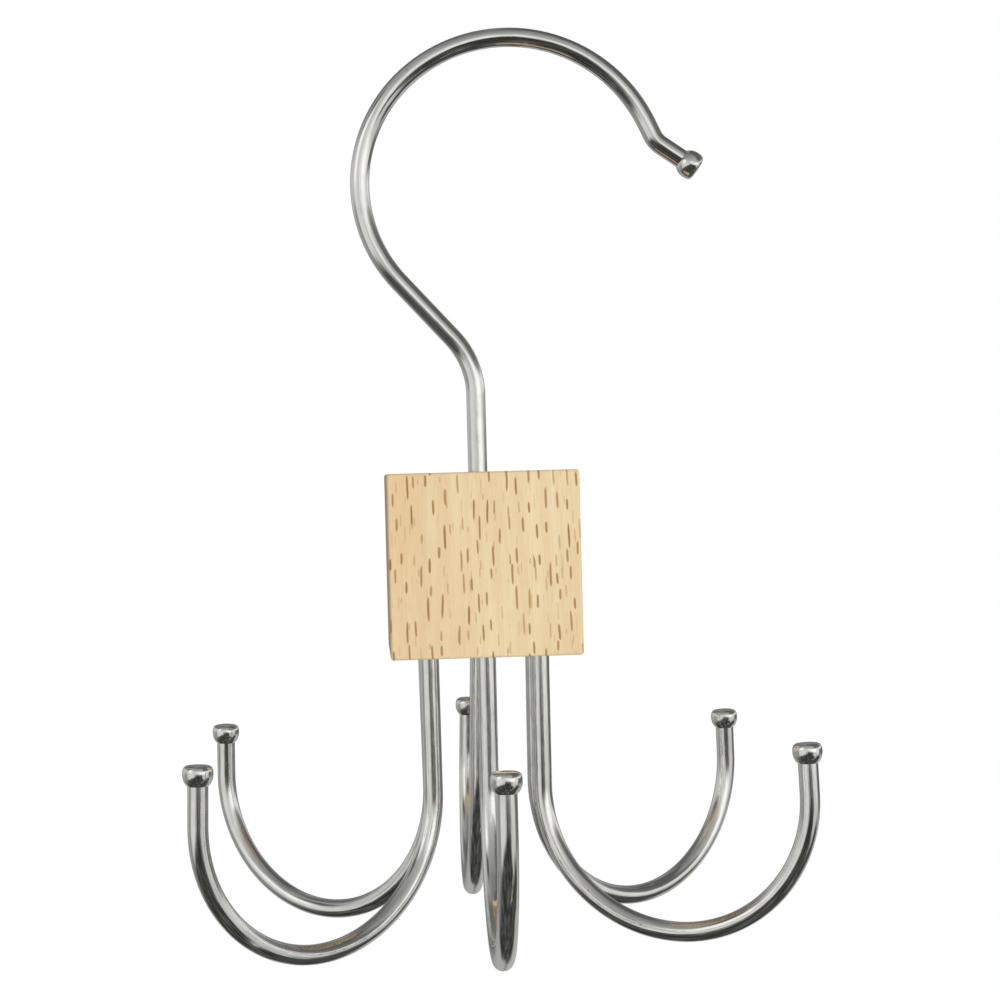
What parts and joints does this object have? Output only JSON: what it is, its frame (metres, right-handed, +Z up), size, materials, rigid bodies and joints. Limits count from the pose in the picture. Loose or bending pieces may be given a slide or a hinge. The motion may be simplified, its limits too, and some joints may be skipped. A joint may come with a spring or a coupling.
{
  "type": "multi-hook hanger",
  "caption": "Beech block hanger that turns on a wire rail hook and carries a ring of ball-tipped wire arms for small clothes, straps and accessories.",
  "frame": {"origin": "inside of the top hook's crown, where the rail bears, in the plane of the hook", "axes": "+Z up along the swivel's axis, +X towards the open side of the top hook, -Y towards the front of the block"},
  "size_m": [0.1286, 0.1485, 0.1952],
  "materials": {
    "beech": "smooth planed beech with fine flecks, thinly lacquered",
    "chromed_wire": "bright chromium plate",
    "zinc_steel": "zinc plated, dull bright",
    "nylon": "moulded blue nylon, slightly waxy"
  },
  "bodies": {
    "hanging_hook": {"top_hook": "chromed_wire", "swivel_washer": "zinc_steel", "lock_nut": "zinc_steel", "nut_insert": "nylon"},
    "hook_block": {"wood_block": "beech", "arm_front": "chromed_wire", "arm_front_right": "chromed_wire", "arm_rear_right": "chromed_wire", "arm_rear": "chromed_wire", "arm_rear_left": "chromed_wire", "arm_front_left": "chromed_wire"}
  },
  "joints": [
    {"name": "block_swivel", "type": "hinge", "parent": "hanging_hook", "child": "hook_block", "pos_m": [-0.00864, 0, -0.09128], "axis": [0, 0, 1], "continuous": true}
  ]
}
